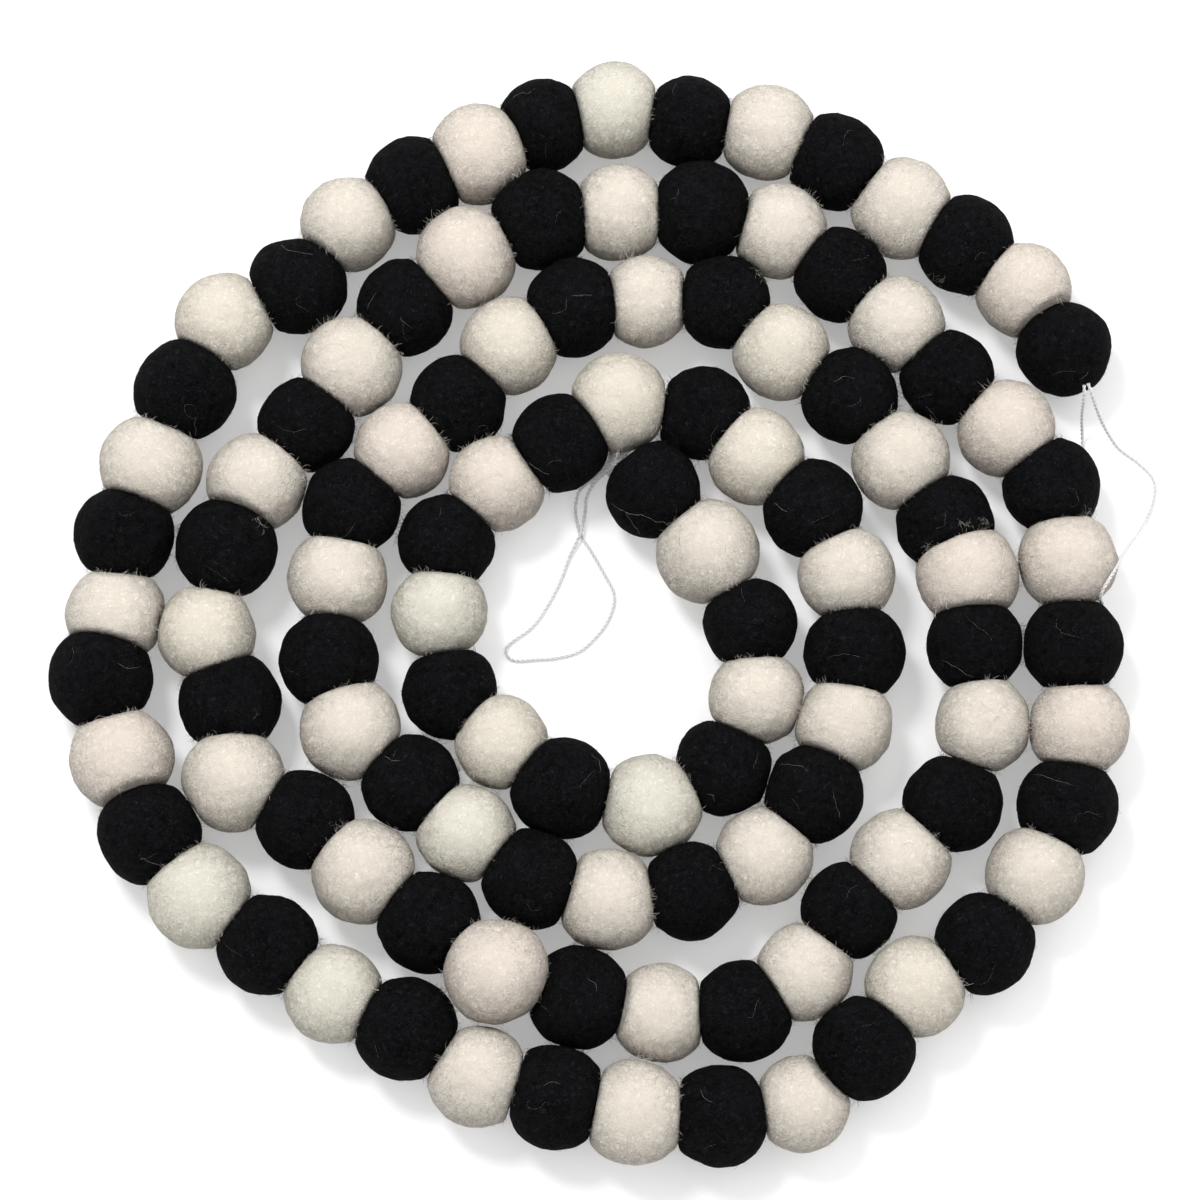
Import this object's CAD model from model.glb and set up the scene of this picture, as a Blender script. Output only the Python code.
"""Felt ball garland: black and off-white felted wool balls on one string, in a flat spiral of four turns.

Each ball is a felt body pressed against its neighbours, with short wool hairs standing out of it. The string
is a two-ply twist that comes out of both ends in a loop, with a tangle of fine strands at the inner end.
"""

import math
import random

import bmesh
import bpy
import numpy as np
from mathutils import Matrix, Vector, noise
from mathutils.bvhtree import BVHTree


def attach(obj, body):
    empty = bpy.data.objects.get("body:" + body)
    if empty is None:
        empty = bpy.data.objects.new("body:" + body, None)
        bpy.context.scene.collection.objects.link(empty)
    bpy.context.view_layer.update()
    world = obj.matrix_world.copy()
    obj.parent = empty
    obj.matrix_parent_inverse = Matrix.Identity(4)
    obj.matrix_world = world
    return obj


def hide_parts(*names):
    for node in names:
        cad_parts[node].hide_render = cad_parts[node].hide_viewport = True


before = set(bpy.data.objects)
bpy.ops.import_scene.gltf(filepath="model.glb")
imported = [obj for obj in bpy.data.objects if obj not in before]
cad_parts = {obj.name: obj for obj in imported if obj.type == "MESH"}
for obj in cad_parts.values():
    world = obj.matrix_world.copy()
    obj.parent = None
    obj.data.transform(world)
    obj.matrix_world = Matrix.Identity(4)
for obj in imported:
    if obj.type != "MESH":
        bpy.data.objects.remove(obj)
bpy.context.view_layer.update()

# The view: a camera almost straight above, leaning 12 degrees towards the near side. The floor is a plain
# white sheet that glows a little, lit from below. A key light hangs high at the far left and a wide fill
# light stands at the far right, and a white ceiling brighter than the walls lights the rest.
MM = 0.001
TILT = math.radians(12)
VIEW_MIDDLE = Vector((3.4, 1.2, 12.7)) * MM
VIEW_DISTANCE = 1.2
LENS = 138.5
SKY_AT_SIDES = 0.55
SKY_OVERHEAD = 1.2
SKY_POWER = 2.0  # how late the brightness rises between the sides and overhead
KEY_PLACE = Vector((-0.6, 0.78, 1.6))
KEY_SIZE = 0.5
KEY_WATTS = 20.0
FILL_PLACE = Vector((1.2, 0.95, 1.1))
FILL_SIZE = 2.0
FILL_WATTS = 12.0
FLOOR_WHITE = (0.7, 0.7, 0.705, 1.0)
FLOOR_GLOW = 0.32
FLOOR_REACH = 3.0

scene = bpy.context.scene
scene.view_settings.view_transform = "Standard"
scene.view_settings.look = "None"
camera_data = bpy.data.cameras.new("photo_camera")
camera_data.lens = LENS
camera_data.sensor_width = 36.0
camera_data.clip_start = 0.05
camera_data.clip_end = 30.0
camera = bpy.data.objects.new("photo_camera", camera_data)
camera.location = VIEW_MIDDLE + Vector((0, -math.sin(TILT), math.cos(TILT))) * VIEW_DISTANCE
camera.rotation_euler = (TILT, 0, 0)
scene.collection.objects.link(camera)
scene.camera = camera

room = bpy.data.worlds.new("white_room")
room.use_nodes = True
sky = room.node_tree.nodes["Background"]
sky.inputs["Color"].default_value = (1.0, 1.0, 1.0, 1.0)
sky_way = room.node_tree.nodes.new("ShaderNodeTexCoord")
sky_split = room.node_tree.nodes.new("ShaderNodeSeparateXYZ")
sky_height = room.node_tree.nodes.new("ShaderNodeMath")
sky_height.operation = "POWER"
sky_height.use_clamp = True
sky_height.inputs[1].default_value = SKY_POWER
sky_strength = room.node_tree.nodes.new("ShaderNodeMapRange")
sky_strength.inputs["To Min"].default_value = SKY_AT_SIDES
sky_strength.inputs["To Max"].default_value = SKY_OVERHEAD
room.node_tree.links.new(sky_way.outputs["Generated"], sky_split.inputs[0])
room.node_tree.links.new(sky_split.outputs["Z"], sky_height.inputs[0])
room.node_tree.links.new(sky_height.outputs[0], sky_strength.inputs["Value"])
room.node_tree.links.new(sky_strength.outputs[0], sky.inputs["Strength"])
scene.world = room

for name, place, size, watts in (
    ("key_light", KEY_PLACE, KEY_SIZE, KEY_WATTS),
    ("fill_light", FILL_PLACE, FILL_SIZE, FILL_WATTS),
):
    lamp_data = bpy.data.lights.new(name, "AREA")
    lamp_data.shape = "DISK"
    lamp_data.size = size
    lamp_data.energy = watts
    lamp = bpy.data.objects.new(name, lamp_data)
    lamp.location = place
    lamp.rotation_euler = (VIEW_MIDDLE - place).to_track_quat("-Z", "Y").to_euler()
    scene.collection.objects.link(lamp)

floor_material = bpy.data.materials.new("white_floor")
floor_material.use_nodes = True
floor_shader = floor_material.node_tree.nodes["Principled BSDF"]
floor_shader.inputs["Base Color"].default_value = FLOOR_WHITE
floor_shader.inputs["Roughness"].default_value = 0.9
floor_shader.inputs["Specular IOR Level"].default_value = 0.1
floor_shader.inputs["Emission Color"].default_value = (1.0, 1.0, 1.0, 1.0)
floor_shader.inputs["Emission Strength"].default_value = FLOOR_GLOW
floor_mesh = bpy.data.meshes.new("floor")
floor_corners = [(x * FLOOR_REACH, y * FLOOR_REACH, 0) for x, y in ((-1, -1), (1, -1), (1, 1), (-1, 1))]
floor_mesh.from_pydata(floor_corners, [], [(0, 1, 2, 3)])
floor_mesh.materials.append(floor_material)
floor = bpy.data.objects.new("floor", floor_mesh)
scene.collection.objects.link(floor)

# The string: white polyester thread of two plies twisted together, 1 mm thick. At each end it is drawn
# out of the last ball into a hanging loop. Each loop lies loose on the floor and goes back into its ball.
STRING_ACROSS = 1.0 * MM
STRING_LOWEST = 0.52 * MM  # of the string's middle line
STRING_STEP = 0.35 * MM
CURVE_STEPS = 20  # between two points of a route
PLY_SHARE = 0.25  # half a ply's thickness, as a share of the string's
PLY_OFFSET = 0.255  # from the string's middle to a ply's middle, as a share
TWIST_LENGTH = 2.6 * MM
PLY_SIDES = 7
PLY_END = 0.7  # how thick a ply's cut end is, as a share
INNER_LOOP = (
    (5, 36.9, 8.4), (2.9, 35.1, 8), (0, 33.7, 6.4), (-2, 32, 5), (-2.8, 29.9, 3.4), (-3.1, 27.3, 1.9),
    (-2.6, 24.5, 0.8), (-1.6, 20.9, 0.55), (1, 16.9, 0.55), (4.5, 10.7, 0.55), (6.9, 5.9, 0.55),
    (6.8, 1.6, 0.55), (4.2, -3.9, 0.55), (-1.3, -9.6, 0.55), (-7.6, -11.7, 0.55), (-13.4, -12.2, 0.55),
    (-18.2, -12.5, 0.55), (-20.6, -11.5, 0.55), (-21.1, -9.4, 0.55), (-19.4, -7.4, 0.55),
    (-14.2, -3.4, 0.55), (-10.5, 1.9, 0.55), (-7.1, 8.5, 0.55), (-4.5, 15.5, 0.8),
    (-1.8, 21.2, 1.85), (-1, 24.4, 1.6), (-0.5, 27.3, 2), (-0.3, 29.9, 3.4), (0.5, 32, 5),
    (1.9, 33.8, 7), (3.6, 35.9, 8.5), (5.6, 37.5, 8.9),
)
OUTER_LOOP = (
    (129.6, 61.2, 14.2), (130, 59, 15.7), (130.2, 56.6, 15.6), (130.2, 54.3, 13.2), (130.2, 51.8, 8),
    (130.8, 48.1, 2.5), (131.2, 43.9, 0.6),
    (132, 35, 0.55), (132.8, 27, 0.55), (133.6, 20, 0.55), (134.2, 14, 0.55), (134.5, 8, 0.55),
    (134.6, 4, 0.9), (134.6, 1.5, 4), (134.3, 0.8, 8), (133.9, 0.5, 12.5), (133.1, 0.8, 16.2),
    (133.4, 2.5, 18.8), (135.1, 5.2, 19.6), (137.6, 9.3, 17.3), (139.4, 12.9, 13), (142.3, 17.4, 8),
    (145.3, 21.8, 3.5), (147.4, 25.5, 1.2), (149.1, 29.1, 0.55), (150, 33.5, 0.55),
    (149.2, 37, 0.55), (145.8, 40.7, 0.55), (140.2, 45, 1.2), (136, 49.6, 6.5), (133.1, 54, 12.9),
    (131.9, 56.6, 15.6), (130.9, 59.1, 15.8), (130.1, 61.3, 14.3),
)


def smooth_route(route, step, lowest):
    """Points a step apart on one smooth curve through the route's own points, in millimetres at first."""
    knots = [Vector(point) * MM for point in route]
    knots = [2 * knots[0] - knots[1]] + knots + [2 * knots[-1] - knots[-2]]
    fine = []
    for a, b, c, d in zip(knots, knots[1:], knots[2:], knots[3:]):
        for k in range(CURVE_STEPS):
            t = k / CURVE_STEPS
            straight = 2 * b + (c - a) * t
            bent = (2 * a - 5 * b + 4 * c - d) * t**2 + (3 * b - a - 3 * c + d) * t**3
            fine.append(0.5 * (straight + bent))
    fine.append(knots[-2])
    fine = np.array(fine)
    walked = np.concatenate([[0.0], np.cumsum(np.linalg.norm(np.diff(fine, axis=0), axis=1))])
    places = np.linspace(0, walked[-1], max(2, round(walked[-1] / step)) + 1)
    points = np.stack([np.interp(places, walked, fine[:, k]) for k in range(3)], axis=1)
    points[:, 2] = np.maximum(points[:, 2], lowest)
    return points


def length_of(points):
    """The length along a row of points."""
    return float(np.linalg.norm(np.diff(points, axis=0), axis=1).sum())


def across_of(points):
    """Two directions square to the line at each of its points, which turn as little as they can."""
    along = np.gradient(points, axis=0)
    along /= np.linalg.norm(along, axis=1)[:, None]
    first = np.cross(along[0], (0.0, 0.0, 1.0))
    if np.linalg.norm(first) < 1e-3:
        first = np.cross(along[0], (1.0, 0.0, 0.0))
    sides = []
    side = first
    for direction in along:
        side = side - direction * side.dot(direction)
        side /= np.linalg.norm(side)
        sides.append(side)
    sides = np.array(sides)
    return sides, np.cross(along, sides)


def tube(points, sizes, sides_count):
    """Corners and faces of a closed tube round a row of points."""
    one, other = across_of(points)
    turns = np.arange(sides_count) * 2 * math.pi / sides_count
    ring = one[:, None] * np.cos(turns)[None, :, None] + other[:, None] * np.sin(turns)[None, :, None]
    corners = (points[:, None] + ring * np.asarray(sizes)[:, None, None]).reshape(-1, 3)
    faces = []
    for n in range(len(points) - 1):
        for k in range(sides_count):
            after = (k + 1) % sides_count
            start, end = n * sides_count, (n + 1) * sides_count
            faces.append((start + k, start + after, end + after, end + k))
    faces.append(tuple(range(sides_count))[::-1])
    last = (len(points) - 1) * sides_count
    faces.append(tuple(last + k for k in range(sides_count)))
    return corners, faces


def twisted(points, across, twist, start_turn=0.0):
    """Corners and faces of a two-ply string along a row of points."""
    one, other = across_of(points)
    steps = np.linalg.norm(np.diff(points, axis=0), axis=1)
    walked = np.concatenate([[0.0], np.cumsum(steps)])
    corners, faces = [], []
    for ply in range(2):
        turn = walked * 2 * math.pi / twist + math.pi * ply + start_turn
        middle = points + (one * np.cos(turn)[:, None] + other * np.sin(turn)[:, None]) * across * PLY_OFFSET
        sizes = np.full(len(points), across * PLY_SHARE)
        sizes[[0, -1]] *= PLY_END
        more, rings = tube(middle, sizes, PLY_SIDES)
        base = sum(len(c) for c in corners)
        corners.append(more)
        faces += [tuple(base + k for k in face) for face in rings]
    return np.concatenate(corners), faces


def mesh_piece(name, corners, faces, material, smooth=True):
    """A new object with that mesh and material, in the scene."""
    mesh = bpy.data.meshes.new(name)
    mesh.from_pydata([tuple(c) for c in corners], [], faces)
    mesh.materials.append(material)
    mesh.polygons.foreach_set("use_smooth", [smooth] * len(mesh.polygons))
    mesh.update()
    piece = bpy.data.objects.new(name, mesh)
    scene.collection.objects.link(piece)
    return piece


def new_group(name, inputs, outputs):
    """A shader node group with those sockets, and its input and output nodes."""
    group = bpy.data.node_groups.new(name, "ShaderNodeTree")
    for label, value in inputs:
        socket = group.interface.new_socket(name=label, in_out="INPUT", socket_type="NodeSocketFloat")
        socket.default_value = value
    for label in outputs:
        group.interface.new_socket(name=label, in_out="OUTPUT", socket_type="NodeSocketFloat")
    return group, group.nodes.new("NodeGroupInput"), group.nodes.new("NodeGroupOutput")


def maths(tree, operation, *values, clamp=False):
    """A Math node on numbers or sockets, and its result."""
    node = tree.nodes.new("ShaderNodeMath")
    node.operation = operation
    node.use_clamp = clamp
    for socket, value in zip(node.inputs, values):
        if isinstance(value, bpy.types.NodeSocket):
            tree.links.new(value, socket)
        else:
            socket.default_value = value
    return node.outputs[0]


def vector_maths(tree, operation, first, second):
    """A Vector Math node on a vector and a vector or number, and its result."""
    node = tree.nodes.new("ShaderNodeVectorMath")
    node.operation = operation
    tree.links.new(first, node.inputs[0])
    target = node.inputs["Scale"] if operation == "SCALE" else node.inputs[1]
    if isinstance(second, bpy.types.NodeSocket):
        tree.links.new(second, target)
    else:
        target.default_value = second
    return node.outputs[0]


def noise_of(tree, vector, scale, detail):
    """A Noise Texture on a vector in millimetres."""
    node = tree.nodes.new("ShaderNodeTexNoise")
    node.inputs["Scale"].default_value = scale
    node.inputs["Detail"].default_value = detail
    tree.links.new(vector, node.inputs["Vector"])
    return node


def stretched(tree, vector, turn, scale):
    """A vector turned and stretched by a Mapping node."""
    node = tree.nodes.new("ShaderNodeMapping")
    node.inputs["Rotation"].default_value = turn
    node.inputs["Scale"].default_value = scale
    tree.links.new(vector, node.inputs["Vector"])
    return node.outputs[0]


def millimetres(tree):
    """The place on the piece, in millimetres."""
    place = tree.nodes.new("ShaderNodeTexCoord")
    return vector_maths(tree, "SCALE", place.outputs["Object"], 1000.0)


def mixed_colour(tree, share, dark, light):
    """A colour between two, by a share that is a socket."""
    node = tree.nodes.new("ShaderNodeMix")
    node.data_type = "RGBA"
    node.inputs[6].default_value = (*dark, 1.0)
    node.inputs[7].default_value = (*light, 1.0)
    tree.links.new(share, node.inputs[0])
    return node.outputs[2]


def bump(tree, height, strength, distance):
    """The normal that a height gives."""
    node = tree.nodes.new("ShaderNodeBump")
    node.inputs["Strength"].default_value = strength
    node.inputs["Distance"].default_value = distance
    tree.links.new(height, node.inputs["Height"])
    return node.outputs["Normal"]


# Spun fibres: fine threads that lie side by side, in the string and in the tangle.
SPUN_TURN = (0.4, 0.9, 0.2)
SPUN_STRETCH = (1.0, 1.0, 0.25)
SPUN_RANGE = (1.6, -0.3)  # the gain and shift that make a tone of the noise
STRING_DARK = (0.42, 0.42, 0.42)
STRING_LIGHT = (0.95, 0.95, 0.95)
STRING_RELIEF = 0.05 * MM
spun_group, spun_in, spun_out = new_group("spun_fibres", [("Fibres per mm", 9.0)], ["Tone", "Height"])
spun_place = vector_maths(spun_group, "SCALE", millimetres(spun_group), spun_in.outputs["Fibres per mm"])
spun_place = stretched(spun_group, spun_place, SPUN_TURN, SPUN_STRETCH)
spun_noise = noise_of(spun_group, spun_place, scale=1.0, detail=2.0)
spun_tone = maths(spun_group, "MULTIPLY_ADD", spun_noise.outputs["Fac"], *SPUN_RANGE, clamp=True)
spun_group.links.new(spun_tone, spun_out.inputs["Tone"])
spun_group.links.new(spun_noise.outputs["Fac"], spun_out.inputs["Height"])

string_material = bpy.data.materials.new("white_string")
string_material.use_nodes = True
string_tree = string_material.node_tree
string_shader = string_tree.nodes["Principled BSDF"]
string_fibres = string_tree.nodes.new("ShaderNodeGroup")
string_fibres.node_tree = spun_group
string_tree.links.new(
    mixed_colour(string_tree, string_fibres.outputs["Tone"], STRING_DARK, STRING_LIGHT),
    string_shader.inputs["Base Color"],
)
string_relief = bump(string_tree, string_fibres.outputs["Height"], strength=0.5, distance=STRING_RELIEF)
string_tree.links.new(string_relief, string_shader.inputs["Normal"])
string_shader.inputs["Roughness"].default_value = 0.38
string_shader.inputs["Specular IOR Level"].default_value = 0.6

for name, node, route in (
    ("inner_string", "inner_loop", INNER_LOOP),
    ("outer_string", "outer_loop", OUTER_LOOP),
):
    line = smooth_route(route, STRING_STEP, STRING_LOWEST)
    string = mesh_piece(name, *twisted(line, STRING_ACROSS, TWIST_LENGTH), string_material)
    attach(string, "root")
    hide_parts(node)
    print(name, "length in mm:", round(length_of(line) * 1000, 1))

# The felt balls: wool wound and wet-felted into balls about 25 mm across, threaded so close that they press
# each other flat. Each is a round body with lumps, cut short by rounded faces where its neighbours press
# it, and flat where it rests.
REST_DENT = 0.5 * MM
PRESS_GAP = 0.04 * MM
REACH_OUT = 1.0 * MM
LIFTED = {52: 4.0 * MM}
SEEN_BOW = 1.8 * MM  # how far an upright seam seems to bow in the photograph's leaning view
SEAM_RISE = 8.5 * MM  # from a seam's middle up to its top
EDGE_SOFTNESS = 1.1 * MM
FLOOR_SOFTNESS = 0.4 * MM
RESTS_BELOW = 0.12 * MM  # felt this close to the floor lies on it
BALL_ROUNDS = 5
# Each ball in the string's order, from the inner end: x, y, width across the string, and how far the top
# of the seam after it bows towards the next ball as the photograph shows it, in millimetres. Odd
# balls are black and even ones off-white.
BALLS = (
    # first turn
    (17.5, 30.5, 25, -0.3), (31.5, 14, 27, -1), (42.5, -5, 24.5, -1), (44, -24.5, 25, -0.5),
    (35.5, -43, 25, -1), (16.5, -53, 26.5, -0.5), (-6.5, -48.5, 26.5, 0.8), (-22, -36, 24.5, 2.4),
    (-35.4, -23.3, 24.8, 0.5), (-38.5, -2, 25, 1.6), (-36.6, 17, 25.2, 0.8), (-23.5, 32.5, 25.5, -0.5),
    (-7.1, 43.3, 25.7, 1.5), (8.5, 54, 26, 0.5),
    # second turn
    (30.7, 51.5, 24.6, -1.3), (44.5, 39.5, 25.5, -1), (59, 25.5, 26.3, -1.8), (67.5, 8, 25.3, -1.3),
    (69.5, -12.6, 26, -1.3), (66.5, -31.5, 25.5, -2), (58.5, -49.7, 25.8, -0.8), (45.5, -66, 25.5, -0.5),
    (26.7, -75, 25.5, -0.3), (5.5, -77.5, 26.5, -0.8), (-14.2, -72, 26, 0.8), (-31, -60, 25.5, 1.3),
    (-45.5, -47, 25.5, 1), (-61, -33.1, 26.3, 2), (-67, -14.5, 26, 2), (-65, 7, 26, 1),
    (-61.5, 26, 26, 0.3), (-48.5, 41.5, 25.5, 1), (-34, 54, 25.5, 0.8), (-20.5, 69.5, 25.5, 1.5),
    (-3.5, 80, 26.1, 0.5), (15.5, 82, 24.5, -0.8),
    # third turn
    (36, 81.5, 25, -1.3), (51, 68, 25.5, -1), (69, 56, 25.5, -0.8), (82, 38.5, 26, -1.3),
    (93.4, 21.7, 25.5, -2.3), (99, 7.5, 27, -2.8), (100.7, -10.5, 25.2, -1.8), (102.5, -31.5, 25, 0),
    (94.4, -52.5, 25.8, -0.4), (80.5, -67, 26, -0.5), (67.3, -80, 25, -0.5), (55.5, -96, 25.5, -0.8),
    (39.8, -106, 26, 0.3), (18.5, -106.5, 25.5, -1), (-2, -102.5, 26.5, -1.5), (-23, -96.5, 27, 1.8),
    (-40.5, -83, 26.5, 1), (-57.5, -70, 27, 1.3), (-72.7, -56.5, 26, 0.3), (-91, -46.1, 26.8, 2.3),
    (-92.5, -25.5, 26.4, 0.3), (-98.8, -7.7, 25.8, 1), (-94, 15, 26.5, 2.8), (-86.3, 32.6, 26, 1.3),
    (-73.6, 48.2, 25.5, 1), (-62, 64, 26.5, 0.9), (-48, 80, 25.5, 0.3), (-32, 93.5, 27, 1.2),
    (-12, 104, 27, 0.5), (8.5, 106, 25.5, 0.8),
    # fourth turn
    (30, 106, 27.5, 0.3), (51, 101, 25.5, -1), (66.6, 89.1, 25, -1.3), (81.5, 75.5, 25.5, -0.8),
    (94.5, 61, 25, -0.8), (110, 47, 26, -0.8), (121.5, 31.5, 25.9, -2.3), (125, 11.5, 26, -1),
    (126, -11, 26.2, -0.5), (127, -32.3, 26.3, -1.3), (123.7, -53, 26.2, -2), (115, -71, 25.5, -1.3),
    (101.8, -88.6, 26, -0.5), (84, -100, 26, -1.5), (70.5, -115.5, 26.6, 0.8), (55, -129.5, 24.5, -0.3),
    (33.8, -132.8, 26, 0), (12.5, -132, 27, 0), (-8, -128, 27, -0.3), (-27.5, -122.5, 26, 0),
    (-46.1, -110.6, 26.6, 0.8), (-64.5, -101.5, 25.5, 1.5), (-81.9, -88.9, 26, 0.5),
    (-99.5, -76.5, 27, 0.8), (-112.5, -60, 26.6, 3), (-120, -40.5, 27, 0.6), (-126, -19.5, 27, 2.5),
    (-122.5, -2.5, 26, 0.5), (-120.5, 18.5, 26.2, 2), (-114, 37, 27, 0.5), (-105.5, 57.5, 27, 1.5),
    (-95.5, 76, 26, 0.3), (-76, 86, 25.5, 2), (-63, 103, 25.5, 2.3), (-46.2, 113.5, 26, 0.8),
    (-28.5, 122, 26.5, 2), (-11.5, 130.5, 25, 0.8), (7, 134.5, 25.5, -0.5),
    # last stretch, to the outer end
    (27, 131.5, 24.5, 0), (48, 128, 25.5, -0.3), (66, 120, 26, 0), (83.5, 107, 27, -1.3),
    (100, 97, 26.4, -1.5), (115, 85, 25.5, -2.8), (125.5, 69, 25, 0),
)
# How the off-white balls differ: the wool's own warmth, as a share of red, green and blue.
ROSY = (1.0, 0.955, 0.935)
GREENISH = (0.97, 0.985, 0.945)
CREAM = (1.0, 0.985, 0.94)
PLAIN = (1.0, 0.98, 0.955)
UNDYED = (1.0, 1.0, 1.0)
WOOLS = {
    12: ROSY, 32: ROSY, 42: ROSY, 52: ROSY, 64: ROSY, 72: ROSY, 74: ROSY, 76: ROSY, 92: ROSY, 102: ROSY,
    110: ROSY, 6: GREENISH, 10: GREENISH, 26: GREENISH, 88: GREENISH, 90: GREENISH, 104: GREENISH,
    8: CREAM, 14: CREAM, 16: CREAM, 34: CREAM, 38: CREAM, 58: CREAM, 80: CREAM, 98: CREAM,
}

# Balls with a bump or a dent of their own: its direction seen from above, in degrees, and its height in
# millimetres. All balls also have random lumps, whose heights are shares of the ball's radius.
OWN_LUMPS = {
    1: ((128, -1.3), (80, 1.3)), 5: ((130, 1.0),), 15: ((215, 1.3),), 85: ((200, -1.2),),
    99: ((140, 1.2), (60, -0.8)), 107: ((40, -0.8),),
}
LUMP_BREADTH = 0.12
BROAD_LUMPS, BROAD_SIZE = 0.045, 0.9
NARROW_LUMPS, NARROW_SIZE = 0.022, 0.4
LUMPS_FROM, LUMPS_RISE = -0.95, 0.4  # the underside has none: how high up they start, and fully show
SKIN_WAVES = ((0.15, 2.8), (0.11, 1.3))  # height and size of the felt's own unevenness, in millimetres

widths = np.array([row[2] for row in BALLS]) * MM
centres = np.array([(row[0] * MM, row[1] * MM, row[2] * MM / 2 - REST_DENT) for row in BALLS])
for ball, lift in LIFTED.items():
    centres[ball - 1, 2] += lift

# Where two balls press each other, both are cut by one plane, which leans so that its seam bows as seen.
pressed = {ball: [] for ball in range(1, len(BALLS) + 1)}
for one in range(1, len(BALLS) + 1):
    for other in range(one + 1, len(BALLS) + 1):
        between = centres[other - 1] - centres[one - 1]
        gap = np.linalg.norm(between)
        half_one, half_other = widths[one - 1] / 2, widths[other - 1] / 2
        if gap > half_one + half_other + REACH_OUT:
            continue
        outward = between / gap
        sideways = np.cross(outward, (0.0, 0.0, 1.0))
        sideways /= np.linalg.norm(sideways)
        upwards = np.cross(sideways, outward)
        bow = BALLS[one - 1][3] * MM - SEEN_BOW * outward[1] if other == one + 1 else 0.0
        lean = outward - upwards * bow / SEAM_RISE
        lean /= np.linalg.norm(lean)
        meeting = centres[one - 1] + outward * (gap**2 + half_one**2 - half_other**2) / (2 * gap)
        pressed[one].append((lean, float(lean @ (meeting - centres[one - 1])) - PRESS_GAP))
        pressed[other].append((-lean, float(-lean @ (meeting - centres[other - 1])) - PRESS_GAP))


def round_directions(rounds):
    """Even directions all round, as unit vectors, and the triangles between them."""
    shape = bmesh.new()
    bmesh.ops.create_icosphere(shape, subdivisions=rounds, radius=1.0)
    directions = np.array([tuple(v.co) for v in shape.verts])
    faces = [tuple(v.index for v in face.verts) for face in shape.faces]
    shape.free()
    return directions / np.linalg.norm(directions, axis=1)[:, None], faces


def soft_least(first, second, softness):
    """The lesser of two lengths, rounded off where they are nearly equal."""
    share = np.clip(0.5 + 0.5 * (second - first) / softness, 0, 1)
    return second + (first - second) * share - softness * share * (1 - share)


def noise_at(places, size):
    """Noise from -1 to 1 at rows of places, whose lumps are about that size."""
    return np.array([noise.noise(Vector(place)) for place in places / size])


directions, ball_faces = round_directions(BALL_ROUNDS)
NOISE_REACH = 50  # each ball takes its lumps from its own place in the noise
LEAST_FACING = 0.05  # skin that faces a seam less than this is never cut by it
FAR_AWAY = 1.0
EDGE_BREADTH = 1.3 * MM
SHOULDER_AWAY, SHOULDER_BREADTH = 0.8 * MM, 0.9 * MM  # the round shoulder beside a seam, where hairs stand
HIDDEN_DEPTH = 1.6 * MM  # felt pressed in further than this is inside the seam
UNDERSIDE_TONE = 0.84  # how light the looser, shaded wool round the underside is beside the top
TONE_FROM, TONE_RISE = -0.1, 0.85
SEAM_GREYING = 0.2
TOP_GRAIN = 0.15  # how rough the fulled top is, beside the sides' 1
TOP_FROM, TOP_RISE = 0.25, 0.7
PATCH_SIZE = 4.5 * MM  # the shoulder's hairs stand in patches of this size
PATCH_MIDDLE, PATCH_SWING, PATCH_LEAST = 0.35, 1.6, 0.08


def felt_body(ball):
    """The corners of one ball, and for each corner what its wool and hairs there need to know."""
    draw = random.Random(ball)
    half = widths[ball - 1] / 2
    offset = np.array([draw.uniform(-NOISE_REACH, NOISE_REACH) for _ in range(3)])
    lumps = BROAD_LUMPS * noise_at(directions + offset, BROAD_SIZE)
    lumps += NARROW_LUMPS * noise_at(directions + offset[::-1], NARROW_SIZE)
    lumps *= np.clip((directions[:, 2] - LUMPS_FROM) / LUMPS_RISE, 0, 1)
    outer = half * (1 + lumps)
    for angle, push in OWN_LUMPS.get(ball, ()):
        way = np.array([math.cos(math.radians(angle)), math.sin(math.radians(angle)), 0.0])
        outer += push * MM * np.exp((directions @ way - 1) / LUMP_BREADTH)
    distance = outer.copy()
    edge = np.zeros(len(directions))
    shoulder = np.zeros(len(directions))
    towards = np.zeros((len(directions), 3))
    for lean, depth in pressed[ball]:
        facing = directions @ lean
        flat = np.where(facing > LEAST_FACING, depth / np.maximum(facing, LEAST_FACING), FAR_AWAY)
        edge = np.maximum(edge, np.exp(-((flat - outer) / EDGE_BREADTH) ** 2))
        beside = np.exp(-((flat - outer - SHOULDER_AWAY) / SHOULDER_BREADTH) ** 2)
        towards = np.where((beside > shoulder)[:, None], lean, towards)
        shoulder = np.maximum(shoulder, beside)
        distance = soft_least(distance, flat, EDGE_SOFTNESS)
    corners = centres[ball - 1] + directions * distance[:, None]
    waves = sum(height * MM * noise_at(corners, size * MM) for height, size in SKIN_WAVES)
    corners = corners + directions * waves[:, None]
    corners[:, 2] = -soft_least(-corners[:, 2], 0.0, FLOOR_SOFTNESS)
    corners[:, 2] = np.where(corners[:, 2] < RESTS_BELOW, 0.0, corners[:, 2])
    hidden = distance < outer - HIDDEN_DEPTH
    rise = np.clip((directions[:, 2] - TONE_FROM) / TONE_RISE, 0, 1)
    rise = rise * rise * (3 - 2 * rise)
    clean = (UNDERSIDE_TONE + (1 - UNDERSIDE_TONE) * rise) * (1 - SEAM_GREYING * edge)
    shag = 1 - np.clip((directions[:, 2] - TOP_FROM) / TOP_RISE, 0, 1)
    shag = TOP_GRAIN + (1 - TOP_GRAIN) * np.maximum(shag, edge)
    shoulder *= np.clip(PATCH_MIDDLE + PATCH_SWING * noise_at(corners, PATCH_SIZE), PATCH_LEAST, 1)
    return corners, shoulder, towards, hidden, clean, shag


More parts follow.
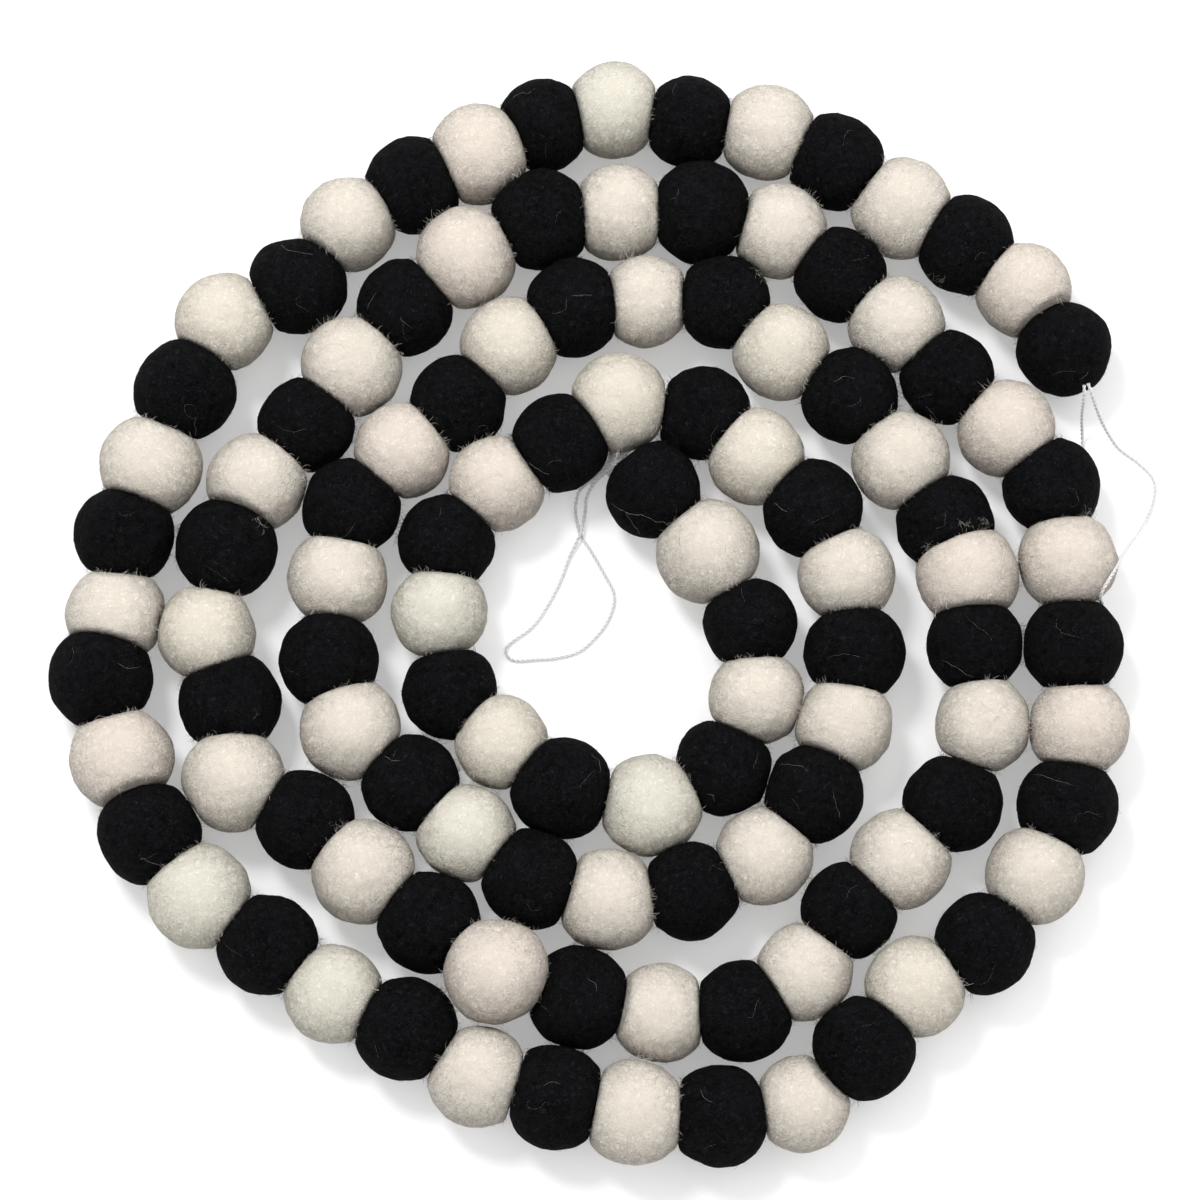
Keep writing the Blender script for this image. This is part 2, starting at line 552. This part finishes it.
# Felted wool: fibres that lie every way in a matted skin, in the balls of both colours. Three sets of curled
# strands each show in patches of their own. Grit is the fibre ends, mottle the uneven mat, cloud its shade.
STRAND_TURNS = ((0.3, 0.2, 0.1), (1.5, 0.4, 0.9), (0.7, 1.4, 2.1))
STRAND_STRETCH = (1.0, 1.0, 0.13)
STRAND_SHARPNESS = 5.0
CURL_GAIN = 2.6
PATCH_RANGE = (2.2, -0.5)  # here and below, a gain and a shift
TONE_RANGE = (1.5, -0.53)
HEIGHT_OF_MAT, HEIGHT_OF_GRIT, HEIGHT_OF_MOTTLE = 0.6, 0.9, 0.3
TONE_OF_MAT, TONE_OF_GRIT, TONE_OF_MOTTLE, TONE_OF_CLOUD = 0.5, 0.5, 0.2, 0.2
PALE_TURN = (0.9, 2.0, 0.5)
PALE_STRETCH = (0.5, 0.5, 0.05)
PALE_RANGE = (26.0, -17.0)
PALE_SHARE = 0.5
ROUGHNESS_RANGE = (-0.1, 1.0)
BLACK_GRAIN = 0.7  # the least grain of a black ball, beside 1 at its sides
felt_group, felt_in, felt_out = new_group(
    "felted_wool", [("Fibre width mm", 0.42), ("Curl mm", 1.8)], ["Tone", "Height", "Pale fibre"]
)
felt_place = millimetres(felt_group)
curl_noise = noise_of(felt_group, felt_place, scale=0.42, detail=2.0)
curl = vector_maths(felt_group, "SUBTRACT", curl_noise.outputs["Color"], (0.5, 0.5, 0.5))
curl_reach = maths(felt_group, "MULTIPLY", felt_in.outputs["Curl mm"], CURL_GAIN)
curl = vector_maths(felt_group, "SCALE", curl, curl_reach)
curled = vector_maths(felt_group, "ADD", felt_place, curl)
fine = maths(felt_group, "DIVIDE", 1.0, felt_in.outputs["Fibre width mm"])
curled = vector_maths(felt_group, "SCALE", curled, fine)
patches = felt_group.nodes.new("ShaderNodeSeparateColor")
patch_noise = noise_of(felt_group, felt_place, scale=0.55, detail=1.0)
felt_group.links.new(patch_noise.outputs["Color"], patches.inputs[0])
ridges = []
for number, turn in enumerate(STRAND_TURNS):
    lying = stretched(felt_group, curled, turn, STRAND_STRETCH)
    strands = noise_of(felt_group, lying, scale=1.0, detail=1.5).outputs["Fac"]
    away = maths(felt_group, "MULTIPLY_ADD", strands, STRAND_SHARPNESS, -STRAND_SHARPNESS / 2)
    ridge = maths(felt_group, "SUBTRACT", 1.0, maths(felt_group, "ABSOLUTE", away), clamp=True)
    weight = maths(felt_group, "MULTIPLY_ADD", patches.outputs[number], *PATCH_RANGE, clamp=True)
    ridges.append(maths(felt_group, "MULTIPLY", ridge, weight))
matted = maths(felt_group, "MAXIMUM", maths(felt_group, "MAXIMUM", ridges[0], ridges[1]), ridges[2])
grit = noise_of(felt_group, felt_place, scale=2.4, detail=2.0).outputs["Fac"]
mottle = noise_of(felt_group, felt_place, scale=0.38, detail=2.0).outputs["Fac"]
cloud = noise_of(felt_group, felt_place, scale=0.09, detail=1.0).outputs["Fac"]
height = maths(felt_group, "MULTIPLY", grit, HEIGHT_OF_GRIT)
height = maths(felt_group, "MULTIPLY_ADD", matted, HEIGHT_OF_MAT, height)
height = maths(felt_group, "MULTIPLY_ADD", mottle, HEIGHT_OF_MOTTLE, height)
tone = maths(felt_group, "MULTIPLY", grit, TONE_OF_GRIT)
tone = maths(felt_group, "MULTIPLY_ADD", matted, TONE_OF_MAT, tone)
tone = maths(felt_group, "MULTIPLY_ADD", mottle, TONE_OF_MOTTLE, tone)
tone = maths(felt_group, "MULTIPLY_ADD", cloud, TONE_OF_CLOUD, tone)
tone = maths(felt_group, "MULTIPLY_ADD", tone, *TONE_RANGE, clamp=True)
felt_group.links.new(tone, felt_out.inputs["Tone"])
felt_group.links.new(height, felt_out.inputs["Height"])
rare_place = stretched(felt_group, curled, PALE_TURN, PALE_STRETCH)
rare = noise_of(felt_group, rare_place, scale=1.0, detail=0.0).outputs["Fac"]
rare_away = maths(felt_group, "ABSOLUTE", maths(felt_group, "MULTIPLY_ADD", rare, *PALE_RANGE))
pale_fibre = maths(felt_group, "SUBTRACT", 1.0, rare_away, clamp=True)
felt_group.links.new(pale_fibre, felt_out.inputs["Pale fibre"])


def felt_material(name, dark, light, pale, contrast, bump_depth):
    """A felted wool material between two colours, with a few pale fibres, times the wool's own warmth."""
    material = bpy.data.materials.new(name)
    material.use_nodes = True
    tree = material.node_tree
    shader = tree.nodes["Principled BSDF"]
    wool = tree.nodes.new("ShaderNodeGroup")
    wool.node_tree = felt_group
    warmth = tree.nodes.new("ShaderNodeAttribute")
    warmth.attribute_name = "warmth"
    strength = maths(tree, "MULTIPLY", warmth.outputs["Alpha"], contrast)
    middling = maths(tree, "SUBTRACT", wool.outputs["Tone"], 0.5)
    tone = maths(tree, "MULTIPLY_ADD", middling, strength, 0.5, clamp=True)
    colour = mixed_colour(tree, tone, dark, light)
    speck = tree.nodes.new("ShaderNodeMix")
    speck.data_type = "RGBA"
    tree.links.new(maths(tree, "MULTIPLY", wool.outputs["Pale fibre"], PALE_SHARE), speck.inputs[0])
    tree.links.new(colour, speck.inputs[6])
    speck.inputs[7].default_value = (*pale, 1.0)
    dyed = tree.nodes.new("ShaderNodeMix")
    dyed.data_type = "RGBA"
    dyed.blend_type = "MULTIPLY"
    dyed.inputs[0].default_value = 1.0
    tree.links.new(speck.outputs[2], dyed.inputs[6])
    tree.links.new(warmth.outputs["Color"], dyed.inputs[7])
    tree.links.new(dyed.outputs[2], shader.inputs["Base Color"])
    roughness = maths(tree, "MULTIPLY_ADD", wool.outputs["Tone"], *ROUGHNESS_RANGE)
    tree.links.new(roughness, shader.inputs["Roughness"])
    relief = maths(tree, "MULTIPLY", wool.outputs["Height"], warmth.outputs["Alpha"])
    tree.links.new(bump(tree, relief, strength=1.0, distance=bump_depth), shader.inputs["Normal"])
    return material, shader


white_felt, white_shader = felt_material(
    "off_white_felt",
    dark=(0.32, 0.289, 0.245),
    light=(0.865, 0.819, 0.746),
    pale=(0.87, 0.83, 0.76),
    contrast=1.2,
    bump_depth=0.85 * MM,
)
white_shader.inputs["Specular IOR Level"].default_value = 0.15
white_shader.inputs["Sheen Weight"].default_value = 0.06
white_shader.inputs["Sheen Roughness"].default_value = 0.6
black_felt, black_shader = felt_material(
    "black_felt",
    dark=(0.0002, 0.0003, 0.0003),
    light=(0.0066, 0.0068, 0.0078),
    pale=(0.026, 0.026, 0.029),
    contrast=2.0,
    bump_depth=0.5 * MM,
)
black_shader.inputs["Specular IOR Level"].default_value = 0.04

hair_roots = {"black": [], "off_white": []}
all_skins = []
for ball in range(1, len(BALLS) + 1):
    corners, shoulder, towards, hidden, clean, shag = felt_body(ball)
    black = ball % 2 == 1
    piece = mesh_piece(f"ball_{ball:03d}", corners, ball_faces, black_felt if black else white_felt)
    warmth = UNDYED if black else WOOLS.get(ball, PLAIN)
    colours = np.ones((len(corners), 4))
    colours[:, :3] = np.array(warmth) * clean[:, None]
    colours[:, 3] = BLACK_GRAIN + (1 - BLACK_GRAIN) * shag if black else shag
    layer = piece.data.color_attributes.new("warmth", "FLOAT_COLOR", "POINT")
    layer.data.foreach_set("color", colours.ravel())
    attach(piece, "root")
    pair = (ball + 1) // 2
    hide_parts(f"pair_{pair:02d}" if ball < len(BALLS) else "end_ball")
    normals = np.empty(len(corners) * 3)
    piece.data.vertices.foreach_get("normal", normals)
    hair_roots["black" if black else "off_white"].append(
        (ball, corners, normals.reshape(-1, 3), shoulder, towards, hidden)
    )
    all_skins.append(corners)

# The wool hairs: a nap of short fibre ends all over each ball, and among them longer curly fibres, most of
# them at the edges where two balls press each other. They are the same wool as the ball they stand on.
NAP_A_BALL = 290
CURLS_A_BALL = 130
CURL_STEPS = 4
CURL_SIZES = (0.031, 0.03, 0.022)  # half a curl's thickness at its steps, in millimetres; it ends in a point
NAP_SIZE = 0.03 * MM
LEAST_CHANCE, SLOPE_CHANCE = 0.12, 0.4  # of a hair on the flat top, and the more of it on a side
NAP_AT_SEAMS, CURLS_AT_SEAMS = 4.0, 13.0  # the more of it at a seam's shoulder
HAIRS_FROM = 1.5 * MM  # above the floor
LEAN_FROM, LEAN_OVER = 0.15, 1.6  # how near a seam hairs lean over it, and how much
ROOT_SLIDE, ROOT_DEPTH = 0.35 * MM, 0.07 * MM
# How far hairs stand up, in degrees: least and most on an off-white ball and on a black one, and the more of
# it at a seam. Their lengths, in millimetres: the least, the spread, and the more of it at a seam.
NAP_LIFT, NAP_LIFT_AT_SEAMS = ((12, 62), (12, 45)), 26
NAP_LENGTH = (0.45, 0.8, 1.1)
CURL_LIFT, CURL_LIFT_AT_SEAMS = ((8, 50), (8, 38)), 36
CURL_LENGTH = (1.4, 1.8, 2.2)
CURL_BEND = 0.8
CURLS_LOWEST = 0.05 * MM
CURL_DROP = 0.35  # how much of its lift a curl loses with each step
SLANT = np.array([0.31, 0.57, 0.76])  # a direction that no hair lies quite along


def roots(corners, normals, shoulder, towards, hidden, draw, count, edge_share):
    """Places on a ball's skin for its hairs, with the skin's normal and two directions along it."""
    slope = 1 - np.abs(normals[:, 2])
    chance = LEAST_CHANCE + SLOPE_CHANCE * slope + edge_share * shoulder
    chance *= (~hidden) * (corners[:, 2] > HAIRS_FROM)
    root = draw.choice(len(corners), count, p=chance / chance.sum())
    normal = normals[root]
    tangent = np.cross(normal, draw.normal(size=(count, 3)))
    tangent /= np.linalg.norm(tangent, axis=1)[:, None]
    tangent += towards[root] * (LEAN_OVER * (shoulder[root] > LEAN_FROM) * draw.random(count))[:, None]
    tangent -= normal * (tangent * normal).sum(axis=1)[:, None]
    tangent /= np.linalg.norm(tangent, axis=1)[:, None]
    second = np.cross(normal, tangent)
    slide = draw.uniform(-ROOT_SLIDE, ROOT_SLIDE, (count, 2))
    start = corners[root] + tangent * slide[:, :1] + second * slide[:, 1:] - normal * ROOT_DEPTH
    return start, normal, tangent, second, shoulder[root]


def nap(ball, corners, normals, shoulder, towards, hidden, draw):
    """Corners of the short hairs of one ball, four to each hair."""
    start, normal, tangent, _, near = roots(
        corners, normals, shoulder, towards, hidden, draw, NAP_A_BALL, NAP_AT_SEAMS
    )
    lift = np.radians(draw.uniform(*NAP_LIFT[ball % 2], NAP_A_BALL) + NAP_LIFT_AT_SEAMS * near)[:, None]
    least, spread, more = NAP_LENGTH
    length = least + spread * draw.random(NAP_A_BALL) ** 2 + more * near * draw.random(NAP_A_BALL)
    length = length[:, None] * MM
    heading = normal * np.sin(lift) + tangent * np.cos(lift)
    broad = np.cross(heading, normal)
    broad /= np.linalg.norm(broad, axis=1)[:, None]
    thin = np.cross(heading, broad)
    turns = [2 * math.pi * k / 3 for k in range(3)]
    base = [start + (broad * math.cos(turn) + thin * math.sin(turn)) * NAP_SIZE for turn in turns]
    shape = np.stack([*base, start + heading * length], axis=1)
    shape[:, :, 2] = np.maximum(shape[:, :, 2], NAP_SIZE)
    return shape


def curls(ball, corners, normals, shoulder, towards, hidden, draw):
    """Rows of points for the long hairs of one ball."""
    start, normal, tangent, second, near = roots(
        corners, normals, shoulder, towards, hidden, draw, CURLS_A_BALL, CURLS_AT_SEAMS
    )
    lift = np.radians(draw.uniform(*CURL_LIFT[ball % 2], CURLS_A_BALL) + CURL_LIFT_AT_SEAMS * near)
    least, spread, more = CURL_LENGTH
    length = least + spread * draw.random(CURLS_A_BALL) ** 2 + more * near * draw.random(CURLS_A_BALL)
    length *= MM
    bend = draw.normal(0, CURL_BEND, CURLS_A_BALL)
    lines = np.empty((CURLS_A_BALL, CURL_STEPS, 3))
    lines[:, 0] = start
    for step in range(1, CURL_STEPS):
        turn = bend * (step - 1)
        rise = np.sin(lift * (1 - CURL_DROP * (step - 1)))
        heading = (
            normal * rise[:, None]
            + tangent * (np.cos(lift) * np.cos(turn))[:, None]
            + second * (np.cos(lift) * np.sin(turn))[:, None]
        )
        lines[:, step] = lines[:, step - 1] + heading * (length / (CURL_STEPS - 1))[:, None]
    lines[:, :, 2] = np.maximum(lines[:, :, 2], CURLS_LOWEST)
    return lines


def curl_corners(lines, thickness=1.0):
    """Corners of three-sided hairs along rows of points, ten to each hair."""
    along = lines[:, -1] - lines[:, 0]
    along /= np.linalg.norm(along, axis=1)[:, None]
    side = np.cross(along, SLANT)
    side /= np.linalg.norm(side, axis=1)[:, None]
    other = np.cross(along, side)
    shape = np.empty((len(lines), 3 * len(CURL_SIZES) + 1, 3))
    for step, size in enumerate(CURL_SIZES):
        for k in range(3):
            turn = 2 * math.pi * k / 3
            ring = side * math.cos(turn) + other * math.sin(turn)
            shape[:, 3 * step + k] = lines[:, step] + ring * size * thickness * MM
    shape[:, -1] = lines[:, -1]
    return shape


# The faces of one hair, as numbers of its corners: its foot, its sides and its point.
nap_pattern = [(0, 2, 1), (0, 1, 3), (1, 2, 3), (2, 0, 3)]
curl_pattern = [(0, 2, 1)]
last_ring = 3 * (len(CURL_SIZES) - 1)
for ring in range(0, last_ring, 3):
    for k in range(3):
        after = (k + 1) % 3
        curl_pattern.append((ring + k, ring + after, ring + 3 + after, ring + 3 + k))
for k in range(3):
    curl_pattern.append((last_ring + k, last_ring + (k + 1) % 3, last_ring + 3))


def repeated(shapes, pattern, first):
    """The faces of many hairs of one pattern, whose corners start at a number."""
    size = shapes.shape[1]
    return [tuple(first + size * hair + c for c in face) for hair in range(len(shapes)) for face in pattern]


def hair_piece(name, short, long, material):
    """One mesh of many short hairs and long ones."""
    corners = np.concatenate([short.reshape(-1, 3), long.reshape(-1, 3)])
    faces = repeated(short, nap_pattern, 0) + repeated(long, curl_pattern, short.shape[0] * short.shape[1])
    return mesh_piece(name, corners, faces, material, smooth=False)


hair_colours = {
    "black": ((0.004, 0.004, 0.005), "black_felt"),
    "off_white": ((0.56, 0.52, 0.46), "off_white_felt"),
}
hair_seeds = {"black": 5, "off_white": 6}
hair_materials = {}
for kind, (colour, slot_name) in hair_colours.items():
    material = bpy.data.materials.new(kind + "_hair")
    material.use_nodes = True
    shader = material.node_tree.nodes["Principled BSDF"]
    shader.inputs["Base Color"].default_value = (*colour, 1.0)
    shader.inputs["Roughness"].default_value = 0.7
    shader.inputs["Specular IOR Level"].default_value = 0.2
    hair_materials[kind] = material
    draw = np.random.default_rng(hair_seeds[kind])
    short = np.concatenate([nap(*row, draw) for row in hair_roots[kind]])
    long = np.concatenate([curls(*row, draw) for row in hair_roots[kind]])
    hairs = hair_piece(kind + "_hairs", short, curl_corners(long), material)
    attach(hairs, "root")

# Loose hairs: single wool fibres and small tufts of them that lie on a ball of the other colour or of their
# own. The table gives the ball and, in millimetres right and up of its middle as the camera sees it, the
# points that the fibre runs through.
LOOSE_OFF_WHITE = (
    (1, ((-11.2, -3.1), (-7.5, -5.7), (-3, -6.6), (1.3, -8.3), (4.9, -9.1))),
    (1, ((-7.5, -5.7), (-4.9, -9.4), (-3.6, -11.2))),
    (13, ((-9.6, -3.9), (-6.8, -6.2), (-2.6, -8.6))),
    (103, ((-8.3, 6.2), (-6.5, 7.5), (-3.9, 7.5), (-2.1, 8.8))),
    (99, ((-4.4, 10.4), (-2.3, 8.8), (0.8, 8.1), (4.2, 7.8))),
    (35, ((-0.5, 2.1), (2.1, 2.3), (4.7, 2.6))),
    (63, ((-0.8, -3.4), (0.8, -4.9), (2.3, -6))),
    (63, ((-7, 3.1), (-8.6, 1.3), (-9.4, -0.8))),
    (97, ((3.4, -7.8), (3.5, -10.4), (3.1, -12.4))),
    (97, ((-5.2, -8.8), (-3.1, -9.6), (-1, -10.4))),
    (71, ((-6, -7.8), (-4.4, -9.4), (-2.3, -11.4))),
    (17, ((-10.7, 1.8), (-9, 0.2), (-7.5, -0.8))),
    (93, ((5.7, 3.9), (8.2, 2.7), (10.9, 2.9))),
    (91, ((-1, -5.7), (2.6, -7.4), (5.5, -7.3))),
    (5, ((-4.7, -6), (-3.1, -6.6), (-2.6, -8.1))),
    (21, ((-9.1, 7.5), (-5.2, 7.6), (-1.3, 6.2))),
    (21, ((4.4, 1), (5.2, -2.6), (6.5, -6))),
    (7, ((7.8, 8.8), (9.6, 7.1), (9.9, 4.4))),
    (77, ((-9.4, 8.3), (-4.4, 7.2), (0.3, 5.7))),
    (43, ((-8.8, -3.9), (-5.7, -5.6), (-3.4, -7.2), (-1, -8.3))),
    (83, ((-4.9, 7.8), (-4.2, 6), (-2.3, 4.7))),
    (27, ((-6.5, 7.5), (-4.4, 6.2), (-2.1, 6.2))),
    (111, ((3.6, -8.4), (4.6, -7.6), (5.4, -6.2))),
    (85, ((-3, 4), (-1, 5.2), (1.4, 4.8))),
    (51, ((2, 6), (4, 4.6), (4.6, 2.4))),
    (39, ((-5, 3), (-2.4, 4.4), (0.6, 4))),
)
LOOSE_BLACK = (
    (2, ((-7.3, 7), (-7.5, 3.1), (-7, -0.3), (-7.5, -4.2), (-7.8, -6))),
    (2, ((3.1, 3.1), (4.2, 1.3), (4.2, -0.6), (6, -2.1))),
    (4, ((-2, 2.4), (-0.6, 1.4), (0.6, 1.8))),
    (44, ((1.4, 0.8), (2.4, 2), (3.6, 2.2))),
    (10, ((-6.4, 9.8), (-4.4, 11), (-2, 10.6))),
    (82, ((1.6, 8.4), (5.4, 6.8), (8, 3.2))),
    (82, ((4.4, 9), (7.8, 6.6), (9.6, 2))),
    (24, ((-4.4, -6.8), (-1.6, -8), (2, -8.2))),
    (62, ((-6, 4.8), (-3, 5.2), (-0.8, 3.8))),
    (100, ((4.2, -3.6), (6, -5.4), (6.4, -7.8))),
    (46, ((-1, 4), (1.6, 5), (3.2, 3.6))),
    (88, ((2, 3.8), (4.2, 2), (4.4, -0.6))),
)
# Tufts: the ball, and the two ends of the line along which the tuft lies.
TUFTS_OFF_WHITE = (
    (97, (-12.2, -7.6), (-8.8, -9)), (41, (2.9, 0.3), (6.8, -1.3)), (41, (8.6, 0.8), (11.4, -1)),
    (41, (-5.5, -5.7), (-3.6, -7.5)), (73, (8.3, -6.5), (10.4, -7.8)), (28, (-1.6, 12.2), (6, 11.2)),
    (54, (-7.2, 11.6), (-2.9, 12.4)), (52, (0.8, 13.2), (7.8, 11.6)), (109, (-9.6, -8.2), (-5.7, -10.9)),
    (11, (5.5, -9.6), (7.3, -10.8)), (52, (-12.6, 3), (-12.8, -3)), (52, (12, 5), (12.6, -2)),
    (95, (4, 10.6), (8, 9)), (85, (-10.4, 6), (-10.8, 0)), (59, (8, 8), (10.6, 5)), (37, (7.6, 9), (9.8, 6)),
)
HAIRS_A_TUFT = 18
TUFT_SPREAD = 0.35  # in millimetres, as are the two ranges below
TUFT_STRIDE = (0.35, 0.75)
TUFT_ABOVE = (0.05, 0.3)
TUFT_BEND = 0.8
TUFT_THICKNESS = 0.6
LOOSE_SEED = 7
LOOSE_SIZE = 0.015 * MM
LOOSE_STEP = 0.45 * MM
LOOSE_ROUTE_ABOVE = 0.06 * MM
LOOSE_LOWEST = 0.05 * MM
LOOSE_ABOVE = 0.05 * MM  # the fibre itself, off the felt
LOOSE_WAVE, LOOSE_WAVE_SIZE = 0.4 * MM, 1.6 * MM
LOOSE_WAVE_SHIFTS = (0.0, 0.3, 0.7)
LOOSE_END, LOOSE_TAPER = 0.15, 0.4  # how the ends thin out
WANDERING_SIZE = 0.007 * MM  # of the faint long fibre on each ball of the other colour
WANDERING_REACH = 0.72  # how far from a ball's middle it starts at most, as a share of the ball's half width
WANDERING_PAST = 1.15
WANDERING_STRIDE = 1.3
WANDERING_POINTS = (4, 9)
WANDERING_BEND, WANDERING_CHANGE = 0.35, 0.25
SIGHT_START = 50 * MM  # how far in front of the felt a line of sight starts
OFF_THE_FELT = 2 * MM  # a line of sight that ends lower than this has missed the ball

skin = BVHTree.FromPolygons(
    [tuple(corner) for corners in all_skins for corner in corners],
    [tuple(n * len(directions) + c for c in face) for n in range(len(all_skins)) for face in ball_faces],
)
sight = Vector((0, math.sin(TILT), -math.cos(TILT)))
sight_up = Vector((0, math.cos(TILT), math.sin(TILT)))


def on_skin(ball, right, up, above):
    """The place on the felt that the camera sees so far right and up of a ball's middle."""
    aim = Vector(centres[ball - 1]) + Vector((right, 0, 0)) * MM + sight_up * up * MM
    place, normal, _, _ = skin.ray_cast(aim - sight * SIGHT_START, sight)
    if place is None or place.z < OFF_THE_FELT:
        place, normal, _, _ = skin.find_nearest(aim)
    return place + normal * above


def loose_hair(ball, points, size):
    """Corners and faces of one thin fibre that lies along points of the felt."""
    route = [on_skin(ball, right, up, LOOSE_ROUTE_ABOVE) / MM for right, up in points]
    line = smooth_route(route, LOOSE_STEP, LOOSE_LOWEST)
    waves = np.stack([noise_at(line + shift, LOOSE_WAVE_SIZE) for shift in LOOSE_WAVE_SHIFTS], axis=1)
    near = [skin.find_nearest(Vector(point)) for point in line + waves * LOOSE_WAVE]
    line = np.array([tuple(place + normal * LOOSE_ABOVE) for place, normal, _, _ in near])
    sizes = size * np.sin(np.linspace(LOOSE_END, math.pi - LOOSE_END, len(line))) ** LOOSE_TAPER
    return tube(line, sizes, 3)


def tuft(ball, start, end, draw):
    """Rows of points for the fibres of one tuft."""
    lines = []
    for _ in range(HAIRS_A_TUFT):
        share = draw.random()
        right, up = (a + (b - a) * share + draw.normal(0, TUFT_SPREAD) for a, b in zip(start, end))
        way = draw.uniform(0, 2 * math.pi)
        bend = draw.normal(0, TUFT_BEND)
        stride = draw.uniform(*TUFT_STRIDE)
        above = draw.uniform(*TUFT_ABOVE) * MM
        row = []
        for _ in range(CURL_STEPS):
            row.append(tuple(on_skin(ball, right, up, above)))
            right += stride * math.cos(way)
            up += stride * math.sin(way)
            way += bend
        lines.append(row)
    return np.array(lines)


def wandering(ball, draw):
    """Points of one long fibre that curls over the top of a ball."""
    reach = widths[ball - 1] / MM / 2 * WANDERING_REACH
    away, side = reach * draw.random() ** 0.5, draw.uniform(0, 2 * math.pi)
    right, up = away * math.cos(side), away * math.sin(side)
    way, bend = draw.uniform(0, 2 * math.pi), draw.normal(0, WANDERING_BEND)
    points = []
    for _ in range(draw.integers(*WANDERING_POINTS)):
        points.append((right, up))
        right += WANDERING_STRIDE * math.cos(way)
        up += WANDERING_STRIDE * math.sin(way)
        way += bend
        bend += draw.normal(0, WANDERING_CHANGE)
    return [point for point in points if math.hypot(*point) < reach * WANDERING_PAST]


for kind, table, first_ball, tufts in (
    ("off_white", LOOSE_OFF_WHITE, 1, TUFTS_OFF_WHITE),
    ("black", LOOSE_BLACK, 2, ()),
):
    draw = np.random.default_rng(LOOSE_SEED)
    corners, faces = [], []
    fibres = [(ball, points, LOOSE_SIZE) for ball, points in table]
    for ball in range(first_ball, len(BALLS) + 1, 2):
        points = wandering(ball, draw)
        if len(points) > 2:
            fibres.append((ball, points, WANDERING_SIZE))
    for ball, points, size in fibres:
        more, rings = loose_hair(ball, points, size)
        base = sum(len(c) for c in corners)
        corners.append(more)
        faces += [tuple(base + k for k in face) for face in rings]
    if tufts:
        shapes = curl_corners(np.concatenate([tuft(*row, draw) for row in tufts]), TUFT_THICKNESS)
        faces += repeated(shapes, curl_pattern, sum(len(c) for c in corners))
        corners.append(shapes.reshape(-1, 3))
    loose = mesh_piece(kind + "_loose_hairs", np.concatenate(corners), faces, hair_materials[kind])
    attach(loose, "root")

# The tangle at the inner end: fine strands of the same thread, fanned out under the balls and drawn together
# into the loop.
TANGLE = (
    ((4.9, 42, 9.6), (4.8, 39.2, 9.6), (3.7, 37.2, 9.2), (2.4, 35.4, 8.5), (0.2, 33.9, 6.9)),
    ((6.2, 42, 9.7), (5.8, 39.2, 9.8), (4.5, 37.3, 9.5), (3.1, 35.6, 8.9), (1, 33.6, 6.6)),
    ((7.5, 42, 9.8), (6.8, 39.2, 10), (5.3, 37.3, 9.8), (3.7, 35.5, 9.1), (2.1, 33.9, 7.4)),
    ((8.8, 42, 9.8), (7.8, 39.3, 10), (6, 37.4, 9.6), (4.3, 35.8, 9), (2.6, 34.4, 8)),
    ((10.1, 42, 9.9), (8.7, 39.6, 10.1), (6.8, 37.8, 9.9), (5, 36.2, 9.2), (3.3, 34.9, 8.2)),
    ((11.3, 42, 10), (9.5, 40, 10.5), (7.5, 38.3, 10.2), (5.9, 36.4, 9.4), (5.6, 35.2, 8.8)),
    ((6.8, 41.6, 8.9), (6.3, 39, 8.9), (5, 37.2, 8.6), (3.4, 35.6, 8), (1.7, 33.8, 6.8)),
    ((9.4, 41.6, 9), (8.2, 39, 8.9), (6.2, 37.3, 8.7), (4.2, 36, 8.1), (2.4, 34.6, 7.2)),
)
TANGLE_ACROSS = 0.95 * MM
TANGLE_STEP = 0.3 * MM
TANGLE_LOWEST = 0.4 * MM
TANGLE_TWIST = 2.4 * MM
TANGLE_TURN = 0.9  # how far each strand's twist is turned beside the one before, in radians
tangle_corners, tangle_faces = [], []
for number, strand in enumerate(TANGLE):
    line = smooth_route(strand, TANGLE_STEP, TANGLE_LOWEST)
    more, rings = twisted(line, TANGLE_ACROSS, TANGLE_TWIST, start_turn=number * TANGLE_TURN)
    base = sum(len(c) for c in tangle_corners)
    tangle_corners.append(more)
    tangle_faces += [tuple(base + k for k in face) for face in rings]
tangle = mesh_piece("inner_tangle", np.concatenate(tangle_corners), tangle_faces, string_material)
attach(tangle, "root")
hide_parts("inner_knot")
